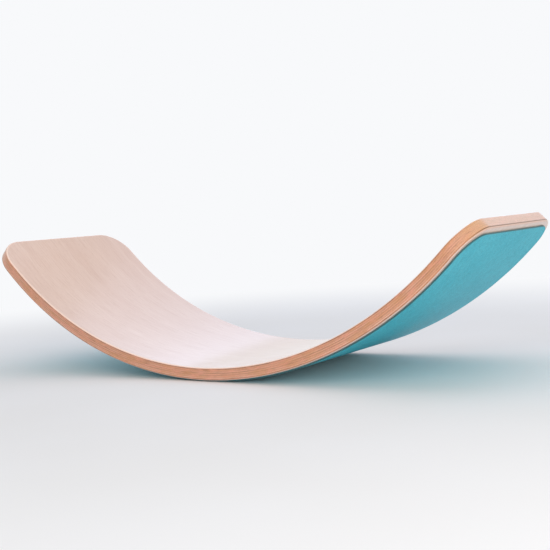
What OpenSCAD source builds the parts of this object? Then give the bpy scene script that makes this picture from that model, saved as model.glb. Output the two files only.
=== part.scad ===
// Curvy balance board: a rocker bent from one thick sheet of beech plywood, with a felt underside.
// Lengths are millimetres. X runs along the board, Y across it and Z up.
// The origin is the point on the floor under the middle of the board.

/* [Board] */
// Width across the board
board_width = 300; // [240:5:400]
// Radius of the bend, measured at the hollow upper face
bend_radius = 552; // [450:1:700]
// Angle that the bend covers on each side of the middle
bend_angle = 45; // [30:1:48]
// Radius of the four corners, seen square to a wing
corner_radius = 50; // [25:1:60]
// Straight stretch between an end of the bend and the start of its corners
wing_flat = 3; // [1:0.5:60]
// Radius of the rounded arrises along the upper and lower faces
arris_radius = 2.5; // [0.5:0.1:3]

/* [Lay-up] */
// Thickness of one pressed veneer
veneer_thickness = 1.35; // [1:0.05:2]
// Thickness of one cured glue line
glue_thickness = 0.1; // [0.08:0.01:0.3]

/* [Felt] */
// Thickness of the felt cover
felt_thickness = 2; // [1:0.1:4]
// Thickness of the adhesive film that holds the felt
adhesive_thickness = 0.2; // [0.1:0.05:0.5]
// Bare wood beside the felt along each long side
felt_side_margin = 7; // [3:0.5:12]
// Bare wood past the felt at each end
felt_end_margin = 10; // [3:0.5:15]
// Set-back of the adhesive from the edge of the felt
adhesive_setback = 1; // [0:0.5:4]

/* [Hidden] */

$fn = 256;

// Veneers in the lay-up, an odd count so that both faces run lengthwise
veneer_count = 13;
// Flats that follow the curve of an arris through one veneer, and through one glue line
veneer_steps = 4;
glue_steps = 1;
// Angle by which the two halves of a layer run past the middle into each other
lap_angle = 0.5;

face_tint = "#EBDCD3";
long_grain_tint = "#DDB08F";
cross_grain_tint = "#C8977A";
glue_tint = "#8C5F41";
adhesive_tint = "#D9D3C4";
felt_tint = "#4FA8B8";

layer_pitch = veneer_thickness + glue_thickness;
wood_thickness = veneer_count * layer_pitch - glue_thickness;
adhesive_depth = wood_thickness;
felt_depth = adhesive_depth + adhesive_thickness;
bend_axis_height = bend_radius + felt_depth + felt_thickness;
wing_length = wing_flat + corner_radius;

felt_width = board_width - 2 * felt_side_margin;
felt_wing = wing_length - felt_end_margin;
// The felt's corners turn about the same place along the board as the board's own
felt_corner = corner_radius - felt_end_margin;

// Depth of a veneer's upper face below the board's upper face, counted from 1 at the top
function veneer_depth(place) = (place - 1) * layer_pitch;

// Depth of the glue line under a veneer
function glue_depth(place) = veneer_depth(place) + veneer_thickness;

// How far the rounded arris draws the edge in at a depth below the upper face
function arris_inset(depth) =
    let (short = max(0, arris_radius - min(depth, wood_thickness - depth)))
    arris_radius - sqrt(max(0, pow(arris_radius, 2) - pow(short, 2)));

// Edge of a wooden layer as pairs of depth and inset, with flats only where an arris crosses it
function wood_edge(depth, thickness, arris_steps) =
    let (
        square = depth >= arris_radius && depth + thickness <= wood_thickness - arris_radius,
        steps = square ? 1 : arris_steps
    )
    [for (k = [0:steps])
        let (here = depth + thickness * (1 - cos(180 * k / steps)) / 2)
        [here, arris_inset(here)]];

// Square edge of a layer that is cut with a knife
function knife_edge(depth, thickness) = [[depth, 0], [depth + thickness, 0]];

// Height of a depth, measured from the axis of the bend
function drop(depth) = -(bend_radius + depth);

// Section straight across a layer
module across(edge, width) {
    half = width / 2;
    last = len(edge) - 1;
    polygon([
        for (k = [0:last]) [half - edge[k][1], drop(edge[k][0])],
        for (k = [last:-1:0]) [edge[k][1] - half, drop(edge[k][0])]
    ]);
}

// Section of a layer's rim, from a line inside the layer out to its edge
module rim(edge, reach) {
    last = len(edge) - 1;
    polygon([
        [0, drop(edge[0][0])],
        for (point = edge) [reach - point[1], drop(point[0])],
        [0, drop(edge[last][0])]
    ]);
}

// Half of a layer's bend, from the foot of a wing to just past the middle of the board
module half_bend(edge, width) {
    rotate([-90, 0, 0])
        rotate(90)
            rotate_extrude(angle = bend_angle + lap_angle)
                rotate(90)
                    across(edge, width);
}

// Straight end of a layer with its two round corners, lying level from the end of the bend
module wing(edge, width, length, corner) {
    corner_place = width / 2 - corner;
    rotate([90, 0, 90])
        linear_extrude(length - corner)
            across(edge, width);
    translate([length - corner, 0, 0]) {
        rotate([90, 0, 0])
            linear_extrude(2 * corner_place, center = true)
                rim(edge, corner);
        for (side = [-1, 1])
            translate([0, side * corner_place, 0])
                rotate(side < 0 ? -90 : 0)
                    rotate_extrude(angle = 90)
                        rim(edge, corner);
    }
}

// One whole layer of the board: two mirrored halves that run into each other at the middle
module layer(edge, width, length, corner) {
    translate([0, 0, bend_axis_height])
        for (end = [0, 1])
            mirror([end, 0, 0])
                rotate([0, -bend_angle, 0]) {
                    half_bend(edge, width);
                    wing(edge, width, length, corner);
                }
}

// Veneer at a place in the lay-up
module veneer(place, tint) {
    color(tint)
        layer(
            wood_edge(veneer_depth(place), veneer_thickness, veneer_steps),
            board_width, wing_length, corner_radius
        );
}

// Cured glue under the veneer at a place in the lay-up
module glue_line(place) {
    color(glue_tint)
        layer(
            wood_edge(glue_depth(place), glue_thickness, glue_steps),
            board_width, wing_length, corner_radius
        );
}

module top_face_veneer() { veneer(1, face_tint); }
module cross_veneer_02() { veneer(2, cross_grain_tint); }
module long_veneer_03() { veneer(3, long_grain_tint); }
module cross_veneer_04() { veneer(4, cross_grain_tint); }
module long_veneer_05() { veneer(5, long_grain_tint); }
module cross_veneer_06() { veneer(6, cross_grain_tint); }
module core_veneer_07() { veneer(7, long_grain_tint); }
module cross_veneer_08() { veneer(8, cross_grain_tint); }
module long_veneer_09() { veneer(9, long_grain_tint); }
module cross_veneer_10() { veneer(10, cross_grain_tint); }
module long_veneer_11() { veneer(11, long_grain_tint); }
module cross_veneer_12() { veneer(12, cross_grain_tint); }
module bottom_face_veneer() { veneer(13, face_tint); }

module glue_line_01() { glue_line(1); }
module glue_line_02() { glue_line(2); }
module glue_line_03() { glue_line(3); }
module glue_line_04() { glue_line(4); }
module glue_line_05() { glue_line(5); }
module glue_line_06() { glue_line(6); }
module glue_line_07() { glue_line(7); }
module glue_line_08() { glue_line(8); }
module glue_line_09() { glue_line(9); }
module glue_line_10() { glue_line(10); }
module glue_line_11() { glue_line(11); }
module glue_line_12() { glue_line(12); }

// Film that holds the felt, kept back from the felt's edge
module felt_adhesive() {
    color(adhesive_tint)
        layer(
            knife_edge(adhesive_depth, adhesive_thickness),
            felt_width - 2 * adhesive_setback,
            felt_wing - adhesive_setback,
            felt_corner - adhesive_setback
        );
}

// Felt sheet that the board rocks on
module felt_cover() {
    color(felt_tint)
        layer(knife_edge(felt_depth, felt_thickness), felt_width, felt_wing, felt_corner);
}

top_face_veneer();
cross_veneer_02();
long_veneer_03();
cross_veneer_04();
long_veneer_05();
cross_veneer_06();
core_veneer_07();
cross_veneer_08();
long_veneer_09();
cross_veneer_10();
long_veneer_11();
cross_veneer_12();
bottom_face_veneer();
glue_line_01();
glue_line_02();
glue_line_03();
glue_line_04();
glue_line_05();
glue_line_06();
glue_line_07();
glue_line_08();
glue_line_09();
glue_line_10();
glue_line_11();
glue_line_12();
felt_adhesive();
felt_cover();
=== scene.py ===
"""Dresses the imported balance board: beech veneers, glue lines and a felt underside, on a studio stage.

Each layer is worked out flat, as distances along and across the board and down from its upper face.
It is then bent about the board's axis, so grain and felt follow the bend as they do on a pressed board.
"""

import math
from collections import namedtuple

import bpy
import numpy as np
from bpy.props import FloatProperty, FloatVectorProperty, PointerProperty
from mathutils import Matrix, Vector


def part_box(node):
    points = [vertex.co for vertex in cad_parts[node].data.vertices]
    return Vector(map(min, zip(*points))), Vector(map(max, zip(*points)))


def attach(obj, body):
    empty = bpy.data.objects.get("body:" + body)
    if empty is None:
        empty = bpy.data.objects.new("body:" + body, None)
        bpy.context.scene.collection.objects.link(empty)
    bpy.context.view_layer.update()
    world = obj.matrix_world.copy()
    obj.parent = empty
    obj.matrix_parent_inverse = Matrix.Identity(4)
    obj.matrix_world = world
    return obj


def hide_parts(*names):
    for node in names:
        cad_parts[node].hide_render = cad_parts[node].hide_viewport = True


bl_info = {
    "name": "Curvy balance board",
    "version": (1, 0, 0),
    "blender": (4, 5, 0),
    "location": "View3D > Sidebar > Board",
    "description": "Builds a bent beech balance board with a felt underside, and a studio round it",
    "category": "Object",
}

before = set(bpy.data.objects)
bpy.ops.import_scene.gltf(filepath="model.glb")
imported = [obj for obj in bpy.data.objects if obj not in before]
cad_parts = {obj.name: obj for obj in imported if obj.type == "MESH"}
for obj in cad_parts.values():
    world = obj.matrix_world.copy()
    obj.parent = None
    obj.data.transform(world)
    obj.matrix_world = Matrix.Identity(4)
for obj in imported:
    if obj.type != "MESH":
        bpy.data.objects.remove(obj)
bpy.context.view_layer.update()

MM = 0.001
BODY = "root"
IMAGE_PIXELS = 550

TOP_FACE = "top_face_veneer"
BOTTOM_FACE = "bottom_face_veneer"
INNER_VENEERS = (
    "cross_veneer_02", "long_veneer_03", "cross_veneer_04", "long_veneer_05", "cross_veneer_06",
    "core_veneer_07", "cross_veneer_08", "long_veneer_09", "cross_veneer_10", "long_veneer_11",
    "cross_veneer_12",
)
VENEERS = (TOP_FACE, *INNER_VENEERS, BOTTOM_FACE)
GLUE_LINES = tuple(f"glue_line_{place:02d}" for place in range(1, len(VENEERS)))

# How pale each inner veneer is on its long sides and at its ends, from 0 for deep to 1 for pale
# The last veneer's deep end tone adds to the painted shade line in the board's ends
INNER_TONES = (
    (0.0, 0.5), (0.15, 0.5), (0.8, 0.4), (0.5, 0.4), (0.5, 0.3), (0.4, 0.2),
    (0.55, 0.1), (0.5, 0.2), (1.0, 0.2), (1.0, 0.1), (0.3, 0.0),
)

# Inner veneer that carries a dark brown line of painted shade in the ends of the board, and how strong it
# is there
PAINTED_SHADE_VENEER = "cross_veneer_12"
PAINTED_SHADE_SHARE = 0.85

# How rough the end grain of the lengthwise veneers still looks at the sanded ends of the board
END_SANDING_SHARE = 0.6

# Grain of an inner veneer as it shows in its edges: long fibres one way, and thin ones the other two
LONG_FIBRE_MM = 60
FIBRE_WIDTH_MM = 0.9
FIBRE_DEPTH_MM = 0.7

# Weight of the lacquer on sanded edges, and less on the veneer with the painted shade line, to keep it dark
EDGE_COAT = 0.8
PAINTED_SHADE_COAT = 0.25

# Mesh rows and columns of a layer, the angle past which an edge is drawn sharp, and how far a mesh may
# stray from its CAD node
BEND_ROWS = 110
WING_ROWS = 4
CORNER_ROWS = 18
FACE_COLUMNS = 13
INNER_COLUMNS = 3
FELT_COLUMNS = 64
EDGE_STEPS = 10
SHARP_ANGLE = math.radians(32)
NODE_TOLERANCE = 0.5 * MM

# A layer's plan when it lies flat: half its length and width, and the radius of its corners
Plan = namedtuple("Plan", "half_length half_width corner")

# A lamp's place, the point that it faces, and its width and height, in metres
Softbox = namedtuple("Softbox", "place target width height")
BOARD_MIDDLE = (0, 0, 0.1)
OVERHEAD_SOFTBOX = Softbox((-0.1, 0.3, 2.0), BOARD_MIDDLE, 2.6, 2.2)
RIGHT_SOFTBOX = Softbox((1.5, -0.9, 0.35), (0.3, 0, 0.1), 1.2, 0.6)
BACK_SOFTBOX = Softbox((-0.5, 1.95, 1.15), BOARD_MIDDLE, 3.8, 1.2)
FRONT_SOFTBOX = Softbox((0.9, -2.6, 1.5), BOARD_MIDDLE, 2.6, 1.8)

# Distances from the middle of the floor, in metres, between which it fades into the backdrop
FLOOR_FADE = (0.5, 1.6)

# Width of the camera's sensor
SENSOR_MM = 36


def from_hex(code):
    """Linear colour of an sRGB hex code."""
    shares = [int(code[k : k + 2], 16) / 255 for k in (1, 3, 5)]
    return [c / 12.92 if c <= 0.04045 else ((c + 0.055) / 1.055) ** 2.4 for c in shares]


def length(label, words, default):
    """Property for a length in metres."""
    return FloatProperty(name=label, description=words, default=default, min=0, unit="LENGTH", precision=5)


def strength(label, words, default):
    """Property for the power of a lamp in watts."""
    return FloatProperty(name=label, description=words, default=default, min=0, unit="POWER")


def colour(label, words, code):
    """Property for a colour, from its sRGB hex code."""
    return FloatVectorProperty(
        name=label, description=words, default=from_hex(code), size=3, min=0, max=1, subtype="COLOR"
    )


class BoardSizes(bpy.types.PropertyGroup):
    """Sizes of the board, in metres."""

    width: length("Width", "Width across the board", 300 * MM)
    bend_radius: length("Bend radius", "Radius of the bend at the upper face", 552 * MM)
    bend_angle: FloatProperty(
        name="Bend angle", description="Angle of the bend on each side of the middle",
        default=math.radians(45), min=0, max=math.pi / 2, subtype="ANGLE",
    )
    corner_radius: length("Corner radius", "Radius of the four corners", 50 * MM)
    wing_flat: length("Wing flat", "Straight stretch between the bend and the corners", 3 * MM)
    arris_radius: length("Arris radius", "Radius of the rounded edges of the wood", 2.5 * MM)
    veneer: length("Veneer", "Thickness of one veneer", 1.35 * MM)
    glue: length("Glue line", "Thickness of one glue line", 0.1 * MM)
    adhesive: length("Adhesive", "Thickness of the film under the felt", 0.2 * MM)
    adhesive_setback: length("Adhesive set-back", "From the felt's edge to the adhesive", 1 * MM)
    felt: length("Felt", "Thickness of the felt", 2 * MM)
    felt_side_margin: length("Felt side margin", "Bare wood beside the felt", 7 * MM)
    felt_end_margin: length("Felt end margin", "Bare wood past the felt's ends", 10 * MM)
    felt_round: length("Felt edge round", "Radius of the felt's worn outer edge", 0.6 * MM)
    felt_relief: length("Felt relief", "Depth of the hollows in the felt's surface", 0.12 * MM)


class BoardColours(bpy.types.PropertyGroup):
    """Colours of the wood, the glue, the felt and the studio."""

    face_pale: colour("Face, pale", "Pale wood of the face veneers", "#E4C5B2")
    face_deep: colour("Face, deep", "Deeper streaks of the face veneers", "#DBB8A4")
    face_line: colour("Face, lines", "Fine grain lines of the face veneers", "#CDA68F")
    # Painted highlight: the upper arris is painted paler and warmer for the light it catches
    painted_arris_highlight: colour("Face, arris", "Sanded arris of the face veneers", "#FFDECA")
    # Painted reflection: the lower arris is painted pale grey for the floor's light reflected in it
    painted_lower_rim_reflection: colour("Face, handled rim", "Handled rim of the lower face veneer", "#D2BEB6")
    face_fleck: colour("Face, flecks", "Short ray flecks of the face veneers", "#B08463")
    side_pale: colour("Side grain, pale", "Palest veneer edge along the grain", "#E8B89E")
    side_deep: colour("Side grain, deep", "Deepest veneer edge along the grain", "#D69671")
    end_pale: colour("End grain, pale", "Palest veneer edge across the grain", "#D69A7C")
    end_deep: colour("End grain, deep", "Deepest veneer edge across the grain", "#A36D55")
    # Painted sheen: the board's ends are tinted cream for the pale sheen they show
    painted_end_sheen: colour("Ends, cream", "Pale bloom of the sanded ends", "#D8B684")
    # Painted shade: a dark brown line in the board's ends, for the shade along the lower arris
    painted_end_shade: colour("Painted end shade", "Dark heartwood of one veneer in the board's ends", "#6E4A22")
    edge_tan: colour("Edges, tan", "Tan patches along the veneer edges", "#CA8C56")
    edge_pink: colour("Edges, pink", "Pink patches along the veneer edges", "#E69C82")
    pore: colour("Pores", "Pores and fibres in the cut edges", "#8A5636")
    glue: colour("Glue", "Cured glue line", "#9A6746")
    adhesive: colour("Adhesive", "Dried contact adhesive", "#D9CFB8")
    felt_mid: colour("Felt", "Main colour of the felt", "#20B2C6")
    felt_light: colour("Felt, light fibres", "Pale fibres in the felt", "#58CDDC")
    felt_dark: colour("Felt, dark fibres", "Dark fibres in the felt", "#0C93A6")
    # Partly painted shade: the felt's edge is drawn dark for the shadow along it, besides its darker cut
    felt_cut_edge_and_shade: colour("Felt, cut edge", "Cut edge of the felt, stiff with adhesive", "#3F5F62")
    floor: colour("Floor", "Studio floor", "#F0EFED")
    warm_light: colour("Warm light", "Tint of the front and right softboxes", "#FFF9F4")
    cool_light: colour("Cool light", "Tint of the overhead softbox", "#DCE8FF")
    back_light: colour("Back light", "Tint of the softbox behind", "#C8D6FF")
    backdrop: colour("Backdrop", "Studio backdrop", "#F8F9FB")


class BoardStage(bpy.types.PropertyGroup):
    """Camera and lamps, with the camera found from the outline of the board in the photograph."""

    azimuth: FloatProperty(
        name="Azimuth", description="Camera direction round the board, from straight in front",
        default=math.radians(34.253), subtype="ANGLE",
    )
    elevation: FloatProperty(
        name="Elevation", description="Camera direction above the level",
        default=math.radians(3.701), subtype="ANGLE",
    )
    roll: FloatProperty(
        name="Roll", description="Turn of the camera about its own line of sight",
        default=math.radians(-3.652), subtype="ANGLE",
    )
    distance: length("Distance", "From the camera to the aim point, along the line of sight", 1.63921)
    aim_height: length("Aim height", "Height of the aim point over the floor", 80 * MM)
    side_step: length("Side step", "Camera's step to its own right", 27.234 * MM)
    rise: length("Rise", "Camera's step up", 64.654 * MM)
    focal_pixels: FloatProperty(
        name="Focal length", description="Focal length in pixels of the square image", default=1030.9, min=1
    )
    ambient: FloatProperty(
        name="Ambient", description="Strength of the light from all round", default=0.56, min=0
    )
    key_power: strength("Key", "Overhead softbox", 11)
    fill_power: strength("Fill", "Low softbox at the right", 9)
    back_power: strength("Back", "Softbox behind the board", 8.5)
    front_power: strength("Front", "Softbox over the camera", 17)


def wood_thickness(sizes):
    """Thickness of all veneers and glue lines."""
    return len(VENEERS) * sizes.veneer + len(GLUE_LINES) * sizes.glue


def veneer_depth(sizes, place):
    """Depth of a veneer's upper face, counting veneers from 0 at the top."""
    return place * (sizes.veneer + sizes.glue)


def board_plan(sizes):
    """Plan of the wooden layers."""
    half_length = sizes.bend_radius * sizes.bend_angle + sizes.wing_flat + sizes.corner_radius
    return Plan(half_length, sizes.width / 2, sizes.corner_radius)


def felt_plan(sizes, setback=0.0):
    """Plan of the felt, or of what lies set back from the felt's edge."""
    board = board_plan(sizes)
    end, side = sizes.felt_end_margin + setback, sizes.felt_side_margin + setback
    return Plan(board.half_length - end, board.half_width - side, board.corner - end)


def bend(sizes, along, across, depth):
    """Flat places to places in the board's frame.

    Up to the end of the bend a place turns about the axis by its distance along over the bend radius, at
    a radius that grows with depth. Past it, the place runs on straight along the tangent.
    """
    foot = sizes.bend_radius * sizes.bend_angle
    turn = np.clip(along, -foot, foot) / sizes.bend_radius
    straight = along - turn * sizes.bend_radius
    radius = sizes.bend_radius + depth
    axis_height = sizes.bend_radius + wood_thickness(sizes) + sizes.adhesive + sizes.felt
    x = radius * np.sin(turn) + straight * np.cos(turn)
    z = axis_height - radius * np.cos(turn) + straight * np.sin(turn)
    return np.stack((x, across, z), axis=-1)


def arris_inset(sizes, depth):
    """How far a quarter-round arris draws the edge in: radius less half the circle's chord at a depth."""
    short = np.maximum(0, sizes.arris_radius - np.minimum(depth, wood_thickness(sizes) - depth))
    return sizes.arris_radius - np.sqrt(np.maximum(0, sizes.arris_radius**2 - short**2))


def wood_edge(sizes, depth, thickness):
    """Depth and inset down a wooden layer's edge, spaced by a cosine so that steps crowd at both faces."""
    share = (1 - np.cos(np.linspace(0, math.pi, EDGE_STEPS + 1))) / 2
    depths = depth + thickness * share
    return depths, arris_inset(sizes, depths)


def felt_edge(sizes, depth, thickness):
    """Depth and inset down the felt's edge: square at the wood, then a quarter round to the outer face."""
    angle = np.linspace(0, math.pi / 2, EDGE_STEPS)
    depths = depth + thickness - sizes.felt_round * (1 - np.sin(angle))
    insets = sizes.felt_round * (1 - np.cos(angle))
    return np.concatenate(([depth], depths)), np.concatenate(([0.0], insets))


def square_edge(depth, thickness):
    """Depth and inset of a plain cut edge."""
    return np.array((depth, depth + thickness)), np.zeros(2)


def mirrored(half):
    """A run that starts at the middle, with its negative mirror image before it."""
    return np.concatenate((-half[:0:-1], half))


def crowded_columns(count, rim_share=0.006):
    """Column places from -1 to 1, with one more just inside each rim to keep the flat face flat."""
    inner = np.linspace(-1 + rim_share, 1 - rim_share, count)
    return np.concatenate(([-1.0], inner, [1.0]))


def long_grain_cut(lean):
    """Share of end grain in a lengthwise veneer's rim: the sine squared of its lean, smoothed by sanding.

    The lean is 0 on a long side and a quarter turn at an end.
    """
    return END_SANDING_SHARE * np.sin(lean) ** 2


def cross_grain_cut(lean):
    """Share of end grain in a crosswise veneer's rim: the cosine squared of its lean."""
    return np.cos(lean) ** 2


def cut_all_round(lean):
    """Share of cut edge in the rim of a layer without grain."""
    return np.ones_like(lean)


def layer_mesh(name, sizes, plan, edge, columns, cut=cut_all_round, tones=(0.5, 0.5), relief=None):
    """Closed mesh of one bent layer.

    The two faces are grids: rows run from end to end, and a row's half width follows the plan's straight
    side and then a quarter circle. The wall joins their rims with one ring for each step of the edge
    profile, each ring drawn in by the profile's inset. All of it is bent at the end. The mesh carries the
    flat places as "lay". On its wall, "wall" is 1, "end" grows from a long side to an end, "cut" is the
    share of cut edge and "tone" the paleness.
    """
    depths, insets = edge
    core = plan.half_length - plan.corner
    foot = sizes.bend_radius * sizes.bend_angle
    sides = np.concatenate((np.linspace(0, foot, BEND_ROWS), np.linspace(foot, core, WING_ROWS)[1:]))
    lean_run = np.linspace(0, math.pi / 2, CORNER_ROWS + 1)[1:]
    base = mirrored(np.concatenate((sides, np.full(CORNER_ROWS, core))))
    lean = mirrored(np.concatenate((np.zeros(len(sides)), lean_run)))
    rows, count = len(base), len(columns)

    def rim(inset):
        reach = plan.corner - inset
        return base + reach * np.sin(lean), plan.half_width - plan.corner + reach * np.cos(lean)

    def face(inset, depth):
        along, half = rim(inset)
        flat = np.empty((rows, count, 3))
        flat[..., 0] = along[:, None]
        flat[..., 1] = half[:, None] * columns
        flat[..., 2] = depth
        return flat.reshape(-1, 3)

    # Places round the rim, clockwise from above: one side, an end, the other side and the other end
    row_run, column_run = np.arange(rows), np.arange(count)
    ring_rows = np.concatenate(
        (row_run, np.full(count - 1, rows - 1), row_run[-2::-1], np.zeros(count - 2, int))
    )
    ring_columns = np.concatenate(
        (np.full(rows, count - 1), column_run[-2::-1], np.zeros(rows - 1, int), column_run[1:-1])
    )
    ring = ring_rows * count + ring_columns

    upper, lower = face(insets[0], depths[0]), face(insets[-1], depths[-1])
    if relief is not None:
        inside = np.ones(rows * count)
        inside[ring] = 0
        lower[:, 2] -= inside * relief(lower[:, 0], lower[:, 1])
    walls = []
    for inset, depth in zip(insets[1:-1], depths[1:-1]):
        along, half = rim(inset)
        across = half[ring_rows] * columns[ring_columns]
        walls.append(np.stack((along[ring_rows], across, np.full(len(ring), depth)), 1))
    flat = np.concatenate((upper, lower, *walls))

    # Corner numbers of the faces: the upper grid, the lower grid turned over, and the wall's rings
    cell = (row_run[:-1, None] * count + column_run[:-1]).ravel()
    upper_quads = np.stack((cell, cell + count, cell + count + 1, cell + 1), 1)
    lower_quads = upper_quads[:, ::-1] + rows * count
    first_wall = 2 * rows * count
    rings = [ring]
    rings += [first_wall + k * len(ring) + np.arange(len(ring)) for k in range(len(walls))]
    rings += [ring + rows * count]
    high, low = np.concatenate(rings[:-1]), np.concatenate(rings[1:])
    high_next = np.concatenate([np.roll(r, -1) for r in rings[:-1]])
    low_next = np.concatenate([np.roll(r, -1) for r in rings[1:]])
    wall_quads = np.stack((high, high_next, low_next, low), 1)
    quads = np.concatenate((upper_quads, lower_quads, wall_quads))

    cut_share, wall_share, end_share, tone = np.zeros((4, len(flat)))
    end_run = np.sin(lean[ring_rows]) ** 2
    wall = np.concatenate(rings)
    cut_share[wall] = np.tile(cut(lean[ring_rows]), len(rings))
    wall_share[wall] = 1
    end_share[wall] = np.tile(end_run, len(rings))
    tone[wall] = np.tile(tones[0] + (tones[1] - tones[0]) * end_run, len(rings))

    mesh = bpy.data.meshes.new(name)
    mesh.from_pydata(bend(sizes, *flat.T).tolist(), [], quads.tolist())
    lay = mesh.attributes.new("lay", "FLOAT_VECTOR", "POINT")
    lay.data.foreach_set("vector", flat.astype(np.float32).ravel())
    for label, values in (("cut", cut_share), ("wall", wall_share), ("end", end_share), ("tone", tone)):
        share = mesh.attributes.new(label, "FLOAT", "POINT")
        share.data.foreach_set("value", values.astype(np.float32))
    mesh.shade_smooth()
    mesh.set_sharp_from_angle(angle=SHARP_ANGLE)
    return mesh


def add_piece(context, mesh, node, material):
    """Puts a mesh in the scene in place of a CAD node, once it is seen to fill the node's box."""
    piece = bpy.data.objects.new(mesh.name, mesh)
    context.scene.collection.objects.link(piece)
    mesh.materials.append(material)
    low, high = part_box(node)
    corners = np.array([v.co for v in mesh.vertices])
    stray = max(np.abs(corners.min(0) - low).max(), np.abs(corners.max(0) - high).max())
    if stray > NODE_TOLERANCE:
        raise RuntimeError(f"{mesh.name} strays {stray / MM:.2f} mm from {node}")
    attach(piece, BODY)
    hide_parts(node)
    return piece


def add_node(tree, kind, inputs=None, **settings):
    """Adds a shader node, sets its settings, and fills or links its inputs by name or number."""
    made = tree.nodes.new(kind)
    for name, value in settings.items():
        setattr(made, name, value)
    for key, value in (inputs or {}).items():
        if isinstance(value, bpy.types.NodeSocket):
            tree.links.new(value, made.inputs[key])
        else:
            made.inputs[key].default_value = value
    return made


def opaque(rgb):
    """A colour with full alpha, as a socket takes it."""
    return (*rgb, 1.0)


def new_material(name):
    """An empty node material and its tree."""
    material = bpy.data.materials.new(name)
    material.use_nodes = True
    material.node_tree.nodes.clear()
    return material, material.node_tree


def shader_out(tree, shader):
    """Links a shader to the material's output."""
    add_node(tree, "ShaderNodeOutputMaterial", {"Surface": shader})


def pattern(tree, place, millimetres, detail=2.0, roughness=0.5, distortion=0.0):
    """Noise whose cells measure the given millimetres along, across and down the layer."""
    scaled = add_node(
        tree, "ShaderNodeVectorMath",
        {0: place, 1: [0.0 if mm == 0 else 1 / (mm * MM) for mm in millimetres]}, operation="MULTIPLY",
    )
    noise = add_node(
        tree, "ShaderNodeTexNoise",
        {"Vector": scaled.outputs[0], "Scale": 1.0, "Detail": detail, "Roughness": roughness,
         "Distortion": distortion},
    )
    return noise.outputs["Fac"]


def remap(tree, value, low, high, to_low=0.0, to_high=1.0):
    """Stretches the part of a pattern between low and high over another range."""
    ranged = add_node(
        tree, "ShaderNodeMapRange",
        {"Value": value, "From Min": low, "From Max": high, "To Min": to_low, "To Max": to_high},
    )
    return ranged.outputs["Result"]


def mixed(tree, share, first, second):
    """Colour between two colours."""
    mix = add_node(tree, "ShaderNodeMix", {0: share, 6: first, 7: second}, data_type="RGBA")
    return mix.outputs[2]


def flat_place(tree):
    """Place on the flat layer, in metres along, across and down."""
    return add_node(tree, "ShaderNodeAttribute", attribute_name="lay").outputs["Vector"]


def share_of(tree, name):
    """A number that the mesh carries at each of its points."""
    return add_node(tree, "ShaderNodeAttribute", attribute_name=name).outputs["Fac"]


def lacquered(tree, wood, roughness, bump, coat_weight, coat_roughness):
    """Wood under a clear satin lacquer, whose sheen grows towards a grazing view."""
    shader = add_node(
        tree, "ShaderNodeBsdfPrincipled",
        {"Base Color": wood, "Roughness": roughness, "IOR": 1.5, "Specular IOR Level": 0.35,
         "Coat Weight": coat_weight, "Coat Roughness": coat_roughness, "Coat IOR": 1.5,
         "Normal": bump.outputs["Normal"]},
    )
    shader_out(tree, shader.outputs["BSDF"])


def beech_face(colours):
    """Rotary-cut beech face veneer, sanded and satin lacquered.

    Pale and even to the eye, with a broad soft figure and fine lines along the board, and short brown ray
    flecks. The upper arris is painted paler and warmer as a painted highlight; the lower arris is painted
    pale grey along the sides as a painted reflection of the floor, and darker at the ends as painted shade.
    The ends show some end grain. Lines and flecks are drawn about three times as coarse as real ones, so
    that they show.
    """
    material, tree = new_material("satin_lacquered_beech_face")
    place = flat_place(tree)
    figure = pattern(tree, place, (520, 34, 0), 3.0, 0.55, 0.6)
    lines = pattern(tree, place, (45, 2.0, 2.5), 2.0, 0.6)
    flecks = pattern(tree, place, (7, 0.9, 3), 1.0)
    streaks = remap(tree, figure, 0.28, 0.72)
    wood = mixed(tree, streaks, opaque(colours.face_pale), opaque(colours.face_deep))
    wood = mixed(tree, remap(tree, lines, 0.45, 0.75, 0, 0.6), wood, opaque(colours.face_line))
    wood = mixed(tree, remap(tree, flecks, 0.62, 0.74, 0, 0.32), wood, opaque(colours.face_fleck))
    # Painted light on the lower arris: pale grey along the sides as a painted reflection of the floor,
    # darker at the ends as painted shade
    painted_lower_rim = mixed(tree, share_of(tree, "end"), opaque(colours.painted_lower_rim_reflection), opaque(colours.face_line))
    # Painted highlight: the upper face veneer's tone of 1 gives its whole arris the pale warm colour
    rim = mixed(tree, share_of(tree, "tone"), painted_lower_rim, opaque(colours.painted_arris_highlight))
    wood = mixed(tree, remap(tree, share_of(tree, "wall"), 0.2, 1.0, 0, 0.62), wood, rim)
    end_grain = remap(tree, share_of(tree, "cut"), 0.2, 1.0, 0, 0.35)
    wood = mixed(tree, end_grain, wood, opaque(colours.end_pale))
    bump = add_node(tree, "ShaderNodeBump", {"Height": lines, "Strength": 0.2, "Distance": 0.05 * MM})
    lacquered(tree, wood, remap(tree, lines, 0.2, 0.8, 0.26, 0.4), bump, 1.0, 0.15)
    return material


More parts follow.
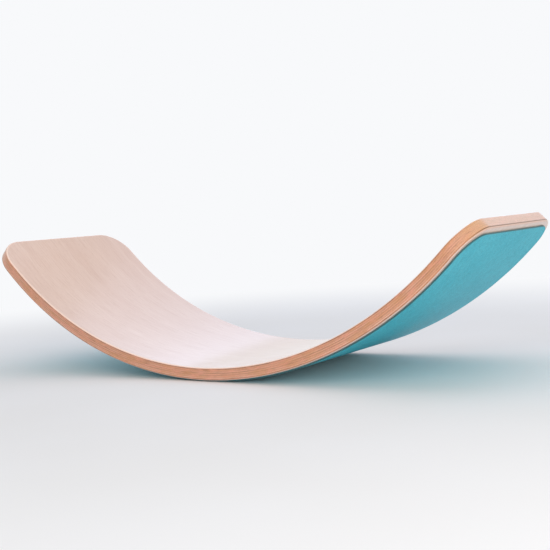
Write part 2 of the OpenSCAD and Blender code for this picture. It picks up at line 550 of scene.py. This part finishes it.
def beech_edge(colours, name, grain, painted_shade_share=0.0, coat=EDGE_COAT):
    """Sawn and sanded edge of a beech veneer, satin lacquered.

    Along the grain it shows long pale streaks, across it a darker, porous end grain that soaks up lacquer.
    Tan and pink patches a few centimetres long and brown dashes break up each stripe. The ends of the board
    get a cream tint as painted sheen, and one veneer gets a dark brown line in them as painted shade.
    Fibres and dashes are drawn several times as coarse as real ones, so that they show.
    """
    material, tree = new_material(name)
    place = flat_place(tree)
    tone = share_of(tree, "tone")
    fibres = pattern(tree, place, grain, 3.0, 0.6)
    dashes = pattern(tree, place, (13, 13, 0.8), 2.0, 0.6)
    tan = pattern(tree, place, (34, 34, 7), 2.0, 0.6)
    pink = pattern(tree, place, (22, 22, 5), 2.0, 0.6, 0.4)
    cut = share_of(tree, "cut")
    end_wall = share_of(tree, "end")
    side = mixed(tree, tone, opaque(colours.side_deep), opaque(colours.side_pale))
    end = mixed(tree, tone, opaque(colours.end_deep), opaque(colours.end_pale))
    wood = mixed(tree, cut, side, end)
    wood = mixed(tree, remap(tree, fibres, 0.5, 0.85, 0, 0.45), wood, opaque(colours.pore))
    wood = mixed(tree, remap(tree, tan, 0.42, 0.66, 0, 0.55), wood, opaque(colours.edge_tan))
    wood = mixed(tree, remap(tree, pink, 0.45, 0.68, 0, 0.65), wood, opaque(colours.edge_pink))
    wood = mixed(tree, remap(tree, dashes, 0.56, 0.70, 0, 0.55), wood, opaque(colours.pore))
    # Painted sheen: a cream tint over the board's ends, for the pale sheen they show in the light
    wood = mixed(tree, remap(tree, end_wall, 0, 1, 0, 0.4), wood, opaque(colours.painted_end_sheen))
    # Painted shade: a dark brown line in the board's ends, standing in for the shade along the lower arris
    if painted_shade_share:
        end_shade = remap(tree, end_wall, 0, 1, 0, painted_shade_share)
        wood = mixed(tree, end_shade, wood, opaque(colours.painted_end_shade))
    bump = add_node(tree, "ShaderNodeBump", {"Height": fibres, "Strength": 0.25, "Distance": 0.06 * MM})
    lacquered(tree, wood, remap(tree, fibres, 0.2, 0.8, 0.35, 0.5), bump, coat, 0.3)
    return material


def cured_glue(colours):
    """Urea resin glue line, cured in the press and sanded flush: a hard, dull brown hairline."""
    material, tree = new_material("cured_resin_glue")
    place = flat_place(tree)
    soak = pattern(tree, place, (14, 14, 1), 2.0)
    resin = mixed(tree, remap(tree, soak, 0.3, 0.7), opaque(colours.glue), opaque(colours.end_deep))
    shader = add_node(
        tree, "ShaderNodeBsdfPrincipled", {"Base Color": resin, "Roughness": 0.5, "IOR": 1.5}
    )
    shader_out(tree, shader.outputs["BSDF"])
    return material


def contact_adhesive(colours):
    """Dried contact adhesive, rolled on: a thin, stippled, rubbery cream film."""
    material, tree = new_material("dried_contact_adhesive")
    stipple = pattern(tree, flat_place(tree), (2.5, 2.5, 1), 2.0)
    thick = remap(tree, stipple, 0.35, 0.7, 0, 0.5)
    film = mixed(tree, thick, opaque(colours.adhesive), opaque(colours.face_line))
    bump = add_node(tree, "ShaderNodeBump", {"Height": stipple, "Strength": 0.4, "Distance": 0.08 * MM})
    shader = add_node(
        tree, "ShaderNodeBsdfPrincipled",
        {"Base Color": film, "Roughness": 0.6, "IOR": 1.5, "Normal": bump.outputs["Normal"]},
    )
    shader_out(tree, shader.outputs["BSDF"])
    return material


def wool_felt(colours):
    """Pressed wool felt, dyed teal: a cloudy mix of light and dark fibres, with a soft pressed sheen.

    Its cut edge is drawn dark: partly a darker cut edge, partly painted shade along it. Single fibres are
    too fine to show, so they are drawn as clumps of two to three millimetres.
    """
    material, tree = new_material("pressed_wool_felt")
    place = flat_place(tree)
    clouds = pattern(tree, place, (38, 30, 8), 3.0, 0.6)
    tufts = pattern(tree, place, (9, 6, 4), 3.0, 0.7, 0.8)
    fibres = pattern(tree, place, (3.4, 2.4, 1.5), 4.0, 0.7, 1.2)
    cloud = remap(tree, clouds, 0.3, 0.7, 0, 0.35)
    wool = mixed(tree, cloud, opaque(colours.felt_mid), opaque(colours.felt_light))
    wool = mixed(tree, remap(tree, tufts, 0.40, 0.70, 0, 0.5), wool, opaque(colours.felt_dark))
    wool = mixed(tree, remap(tree, fibres, 0.52, 0.70, 0, 0.8), wool, opaque(colours.felt_light))
    wool = mixed(tree, remap(tree, fibres, 0.48, 0.32, 0, 0.9), wool, opaque(colours.felt_dark))
    # Dark cut edge all round the felt, partly its own colour and partly painted shade along the edge
    dark_edge_and_shade = remap(tree, share_of(tree, "cut"), 0.6, 1.0, 0, 0.85)
    wool = mixed(tree, dark_edge_and_shade, wool, opaque(colours.felt_cut_edge_and_shade))
    bump = add_node(tree, "ShaderNodeBump", {"Height": fibres, "Strength": 0.6, "Distance": 0.25 * MM})
    shader = add_node(
        tree, "ShaderNodeBsdfPrincipled",
        {"Base Color": wool, "Roughness": 0.47, "IOR": 1.5, "Specular IOR Level": 0.4,
         "Sheen Weight": 0.05, "Sheen Roughness": 0.5, "Sheen Tint": opaque(colours.felt_light),
         "Normal": bump.outputs["Normal"]},
    )
    shader_out(tree, shader.outputs["BSDF"])
    return material


def camera_white(tree):
    """1 where the camera, a reflection or a clear surface looks at a thing, and 0 for its light."""
    path = add_node(tree, "ShaderNodeLightPath")
    seen = path.outputs["Is Camera Ray"]
    for name in ("Is Glossy Ray", "Is Transmission Ray"):
        added = add_node(tree, "ShaderNodeMath", {0: seen, 1: path.outputs[name]}, operation="MAXIMUM")
        seen = added.outputs[0]
    return seen


def studio_floor(colours):
    """Painted studio floor: a matt, very slightly mottled pale grey that fades into the backdrop."""
    material, tree = new_material("matt_studio_floor")
    place = add_node(tree, "ShaderNodeTexCoord").outputs["Object"]
    mottle = pattern(tree, place, (350, 350, 350), 2.0)
    patches = remap(tree, mottle, 0.3, 0.7, 0, 0.3)
    paint = mixed(tree, patches, opaque(colours.floor), opaque(colours.backdrop))
    matt = add_node(
        tree, "ShaderNodeBsdfPrincipled", {"Base Color": paint, "Roughness": 0.9, "Specular IOR Level": 0.0}
    )
    away = add_node(tree, "ShaderNodeVectorMath", {0: place}, operation="LENGTH")
    near_edge, far_edge = FLOOR_FADE
    far = add_node(
        tree, "ShaderNodeMapRange",
        {"Value": away.outputs["Value"], "From Min": near_edge, "From Max": far_edge},
        interpolation_type="SMOOTHSTEP",
    )
    seen_far = add_node(
        tree, "ShaderNodeMath", {0: far.outputs["Result"], 1: camera_white(tree)}, operation="MULTIPLY"
    )
    backdrop = add_node(tree, "ShaderNodeEmission", {"Color": opaque(colours.backdrop), "Strength": 1.0})
    shader = add_node(
        tree, "ShaderNodeMixShader",
        {0: seen_far.outputs[0], 1: matt.outputs["BSDF"], 2: backdrop.outputs["Emission"]},
    )
    shader_out(tree, shader.outputs["Shader"])
    return material


class BOARD_OT_face_veneers(bpy.types.Operator):
    """Build the upper and the lower face veneer, with their rounded arrises"""

    bl_idname = "board.face_veneers"
    bl_label = "Face veneers"

    def execute(self, context):
        sizes = context.scene.board_sizes
        beech = beech_face(context.scene.board_colours)
        columns = crowded_columns(FACE_COLUMNS)
        # The tones pick the rim colour: 1 gives the upper arris its painted highlight, 0 the lower arris
        # its painted floor reflection and end shade
        for node, place, tones in ((TOP_FACE, 0, (1, 1)), (BOTTOM_FACE, len(VENEERS) - 1, (0, 0))):
            edge = wood_edge(sizes, veneer_depth(sizes, place), sizes.veneer)
            mesh = layer_mesh(
                f"beech_{node}", sizes, board_plan(sizes), edge, columns, long_grain_cut, tones
            )
            add_piece(context, mesh, node, beech)
        return {"FINISHED"}


class BOARD_OT_inner_veneers(bpy.types.Operator):
    """Build the inner veneers, whose grain runs along and across the board in turn"""

    bl_idname = "board.inner_veneers"
    bl_label = "Inner veneers"

    def execute(self, context):
        sizes, colours = context.scene.board_sizes, context.scene.board_colours
        lengthwise = (LONG_FIBRE_MM, FIBRE_WIDTH_MM, FIBRE_DEPTH_MM)
        sideways = (FIBRE_WIDTH_MM, LONG_FIBRE_MM, FIBRE_DEPTH_MM)
        along = beech_edge(colours, "sanded_beech_long_grain", lengthwise)
        across = beech_edge(colours, "sanded_beech_cross_grain", sideways)
        painted_end_shade = beech_edge(
            colours, "sanded_beech_painted_end_shade", sideways, PAINTED_SHADE_SHARE, PAINTED_SHADE_COAT
        )
        columns = crowded_columns(INNER_COLUMNS)
        for place, (node, tones) in enumerate(zip(INNER_VENEERS, INNER_TONES), start=1):
            crosswise = node.startswith("cross")
            edge = wood_edge(sizes, veneer_depth(sizes, place), sizes.veneer)
            cut = cross_grain_cut if crosswise else long_grain_cut
            mesh = layer_mesh(f"beech_{node}", sizes, board_plan(sizes), edge, columns, cut, tones)
            # The last cross veneer gets the material with the painted shade line in the board's ends
            wood = painted_end_shade if node == PAINTED_SHADE_VENEER else across if crosswise else along
            add_piece(context, mesh, node, wood)
        return {"FINISHED"}


class BOARD_OT_glue_lines(bpy.types.Operator):
    """Build the cured glue line under each veneer but the last"""

    bl_idname = "board.glue_lines"
    bl_label = "Glue lines"

    def execute(self, context):
        sizes = context.scene.board_sizes
        resin = cured_glue(context.scene.board_colours)
        columns = crowded_columns(INNER_COLUMNS)
        for place, node in enumerate(GLUE_LINES):
            edge = wood_edge(sizes, veneer_depth(sizes, place) + sizes.veneer, sizes.glue)
            mesh = layer_mesh(f"cured_{node}", sizes, board_plan(sizes), edge, columns)
            add_piece(context, mesh, node, resin)
        return {"FINISHED"}


class BOARD_OT_felt_adhesive(bpy.types.Operator):
    """Build the adhesive film between the lower veneer and the felt"""

    bl_idname = "board.felt_adhesive"
    bl_label = "Felt adhesive"

    def execute(self, context):
        sizes = context.scene.board_sizes
        film = contact_adhesive(context.scene.board_colours)
        plan = felt_plan(sizes, sizes.adhesive_setback)
        edge = square_edge(wood_thickness(sizes), sizes.adhesive)
        mesh = layer_mesh("rolled_felt_adhesive", sizes, plan, edge, crowded_columns(INNER_COLUMNS))
        add_piece(context, mesh, "felt_adhesive", film)
        return {"FINISHED"}


class BOARD_OT_felt_cover(bpy.types.Operator):
    """Build the felt sheet that the board rocks on"""

    bl_idname = "board.felt_cover"
    bl_label = "Felt cover"

    def execute(self, context):
        sizes = context.scene.board_sizes
        wool = wool_felt(context.scene.board_colours)
        plan = felt_plan(sizes)
        depth = wood_thickness(sizes) + sizes.adhesive

        def relief(along, across):
            """Soft hollows: two slow waves multiplied, and a quick slanted one added, never outwards."""
            slow = np.sin(along / (31 * MM)) * np.sin(across / (23 * MM) + along / (90 * MM))
            quick = np.sin(along / (9 * MM) + 2 * np.sin(across / (17 * MM)))
            return sizes.felt_relief * (0.5 + 0.35 * slow + 0.15 * quick)

        edge = felt_edge(sizes, depth, sizes.felt)
        columns = crowded_columns(FELT_COLUMNS)
        mesh = layer_mesh("wool_felt_cover", sizes, plan, edge, columns, relief=relief)
        sheet = add_piece(context, mesh, "felt_cover", wool)
        return {"FINISHED"}


def add_lamp(context, name, softbox, power, tint):
    """Soft rectangular lamp at its place, turned to face its target."""
    lamp = bpy.data.lights.new(name, "AREA")
    lamp.energy = power
    lamp.color = tint
    lamp.shape = "RECTANGLE"
    lamp.size = softbox.width
    lamp.size_y = softbox.height
    holder = bpy.data.objects.new(name, lamp)
    context.scene.collection.objects.link(holder)
    aim = Vector(softbox.place) - Vector(softbox.target)
    turn = aim.to_track_quat("Z", "Y").to_matrix().to_4x4()
    holder.matrix_world = Matrix.Translation(softbox.place) @ turn
    return holder


def add_camera(context, stage):
    """Camera on its line of sight to the aim point, rolled, then stepped aside and up in its own plane."""
    azimuth, elevation, roll = stage.azimuth, stage.elevation, stage.roll
    reach = math.cos(elevation)
    back = Vector((math.sin(azimuth) * reach, -math.cos(azimuth) * reach, math.sin(elevation)))
    level = Vector((math.cos(azimuth), math.sin(azimuth), 0))
    upright = back.cross(level)
    right = math.cos(roll) * level + math.sin(roll) * upright
    up = math.cos(roll) * upright - math.sin(roll) * level
    aim = Vector((0, 0, stage.aim_height))
    place = aim + stage.distance * back + stage.side_step * right + stage.rise * up
    lens = bpy.data.cameras.new("photo_camera")
    lens.sensor_width = SENSOR_MM
    lens.lens = stage.focal_pixels / IMAGE_PIXELS * SENSOR_MM
    camera = bpy.data.objects.new("photo_camera", lens)
    context.scene.collection.objects.link(camera)
    camera.matrix_world = Matrix.Translation(place) @ Matrix((right, up, back)).transposed().to_4x4()
    context.scene.camera = camera


def add_world(context, stage, colours):
    """Even light from all round, with the backdrop's colour where it is looked at."""
    world = bpy.data.worlds.new("studio_world")
    world.use_nodes = True
    tree = world.node_tree
    tree.nodes.clear()
    light = add_node(tree, "ShaderNodeBackground", {"Color": (1, 1, 1, 1), "Strength": stage.ambient})
    seen = add_node(tree, "ShaderNodeBackground", {"Color": opaque(colours.backdrop), "Strength": 1.0})
    both = add_node(
        tree, "ShaderNodeMixShader",
        {0: camera_white(tree), 1: light.outputs["Background"], 2: seen.outputs["Background"]},
    )
    add_node(tree, "ShaderNodeOutputWorld", {"Surface": both.outputs["Shader"]})
    context.scene.world = world


def add_floor(context, colours, radius=9.0, rings=24, spokes=64):
    """Round floor: places at each ring's radius and each spoke's angle, rings crowding at the middle."""
    reach = radius * np.linspace(0, 1, rings + 1)[1:] ** 2
    angle = np.linspace(0, 2 * math.pi, spokes, endpoint=False)
    x, y = np.outer(reach, np.cos(angle)), np.outer(reach, np.sin(angle))
    points = np.concatenate((np.zeros((1, 3)), np.stack((x, y, np.zeros_like(x)), -1).reshape(-1, 3)))
    number = 1 + np.arange(rings * spokes).reshape(rings, spokes)
    turned = np.roll(number, -1, axis=1)
    quads = np.stack((number[:-1], number[1:], turned[1:], turned[:-1]), -1).reshape(-1, 4)
    hub = np.stack((np.zeros(spokes, int), number[0], turned[0]), -1)
    mesh = bpy.data.meshes.new("studio_floor")
    mesh.from_pydata(points.tolist(), [], hub.tolist() + quads.tolist())
    mesh.materials.append(studio_floor(colours))
    floor = bpy.data.objects.new("studio_floor", mesh)
    context.scene.collection.objects.link(floor)


class BOARD_OT_stage(bpy.types.Operator):
    """Set up the floor, the soft lamps and the camera"""

    bl_idname = "board.stage"
    bl_label = "Stage"

    def execute(self, context):
        stage, colours = context.scene.board_stage, context.scene.board_colours
        context.scene.view_settings.view_transform = "Standard"
        add_camera(context, stage)
        add_world(context, stage, colours)
        add_floor(context, colours)
        cool, warm = colours.cool_light, colours.warm_light
        add_lamp(context, "overhead_softbox", OVERHEAD_SOFTBOX, stage.key_power, cool)
        right = add_lamp(context, "right_softbox", RIGHT_SOFTBOX, stage.fill_power, warm)
        back = add_lamp(context, "back_softbox", BACK_SOFTBOX, stage.back_power, colours.back_light)
        front = add_lamp(context, "front_softbox", FRONT_SOFTBOX, stage.front_power, warm)
        # The back softbox would stand in the picture, and the other two would glare in the lacquer
        back.visible_camera = False
        for lamp in (right, front):
            lamp.visible_glossy = False
        return {"FINISHED"}


class BOARD_PT_panel(bpy.types.Panel):
    """Sidebar panel with the sizes, the colours and a button for each step"""

    bl_idname = "BOARD_PT_panel"
    bl_label = "Balance board"
    bl_space_type = "VIEW_3D"
    bl_region_type = "UI"
    bl_category = "Board"

    def draw(self, context):
        for group in (context.scene.board_sizes, context.scene.board_colours, context.scene.board_stage):
            box = self.layout.box()
            for name in group.__annotations__:
                box.prop(group, name)
        for step in STEPS:
            self.layout.operator(step.bl_idname)


GROUPS = {"board_sizes": BoardSizes, "board_colours": BoardColours, "board_stage": BoardStage}
STEPS = (
    BOARD_OT_stage, BOARD_OT_face_veneers, BOARD_OT_inner_veneers, BOARD_OT_glue_lines,
    BOARD_OT_felt_adhesive, BOARD_OT_felt_cover,
)


def register():
    """Registers the classes and hangs the property groups on the scene."""
    for item in (*GROUPS.values(), *STEPS, BOARD_PT_panel):
        bpy.utils.register_class(item)
    for name, group in GROUPS.items():
        setattr(bpy.types.Scene, name, PointerProperty(type=group))


def unregister():
    """Takes the property groups and the classes away again."""
    for name in GROUPS:
        delattr(bpy.types.Scene, name)
    for item in (BOARD_PT_panel, *reversed(STEPS), *reversed(GROUPS.values())):
        bpy.utils.unregister_class(item)


def main():
    """Registers the add-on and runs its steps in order."""
    register()
    for step in STEPS:
        family, name = step.bl_idname.split(".")
        getattr(getattr(bpy.ops, family), name)()


if __name__ == "__main__":
    main()
